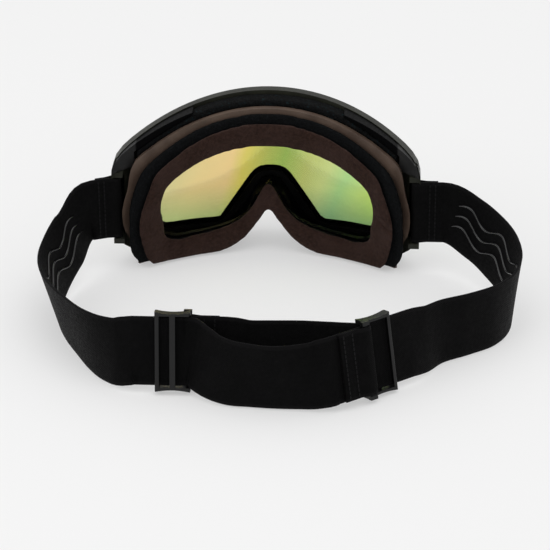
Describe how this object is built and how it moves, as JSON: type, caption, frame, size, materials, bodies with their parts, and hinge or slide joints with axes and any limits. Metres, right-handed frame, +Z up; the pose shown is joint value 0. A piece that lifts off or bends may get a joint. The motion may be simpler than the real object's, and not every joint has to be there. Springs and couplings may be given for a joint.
{
  "type": "ski goggles",
  "caption": "Ski goggles with a curved magnetic double lens, foam and fleece face seal, and an elastic strap adjusted by two sliders.",
  "frame": {"origin": "on the resting plane, in the frame's centre plane, half way between the lens's apex and the back of the strap", "axes": "+Z up, -Y the way the lens faces, +X the wearer's left"},
  "size_m": [0.2843, 0.229, 0.098],
  "materials": {
    "frame": "satin moulded nylon",
    "flange": "satin soft-touch moulding",
    "cover": "satin moulded nylon",
    "foam": "open-cell polyurethane foam",
    "vent_foam": "reticulated open-cell foam",
    "fleece": "brushed fleece",
    "webbing": "woven elastic webbing",
    "silicone": "glossy silicone",
    "thread": "spun polyester thread",
    "slider": "satin moulded acetal",
    "lens": "mirror-coated tint",
    "inner_lens": "clear with anti-fog film",
    "gasket": "closed-cell foam",
    "carrier": "moulded nylon",
    "magnet": "nickel-plated",
    "pin": "plain"
  },
  "bodies": {
    "goggles": {"frame_chassis": "frame", "frame_magnets": "magnet", "rear_flange": "flange", "foam_base": "foam", "face_fleece": "fleece", "vent_foam_top": "vent_foam", "vent_foam_bottom": "vent_foam", "corner_cover_left": "cover", "corner_cover_right": "cover", "strap_pin_left": "pin", "strap_pin_right": "pin", "strap_left": "webbing", "strap_right": "webbing", "grip_beads_left": "silicone", "grip_beads_right": "silicone", "hem_stitching_left": "thread", "hem_stitching_right": "thread"},
    "lens": {"lens_outer": "lens", "lens_inner": "inner_lens", "lens_spacer": "gasket", "lens_carrier": "carrier", "lens_magnets": "magnet"},
    "slider_left": {"slider_left": "slider", "strap_end_left": "webbing", "end_stitching_left": "thread"},
    "slider_right": {"slider_right": "slider", "strap_end_right": "webbing", "end_stitching_right": "thread"}
  },
  "joints": [
    {"name": "lens_release", "type": "slide", "parent": "goggles", "child": "lens", "axis": [0, -1, 0], "range_m": [0, 0.06]},
    {"name": "slider_left_travel", "type": "slide", "parent": "goggles", "child": "slider_left", "axis": [1, 0, 0], "range_m": [0, 0.012]},
    {"name": "slider_right_travel", "type": "slide", "parent": "goggles", "child": "slider_right", "axis": [-0.7986, -0.6018, 0], "range_m": [0, 0.012]}
  ]
}
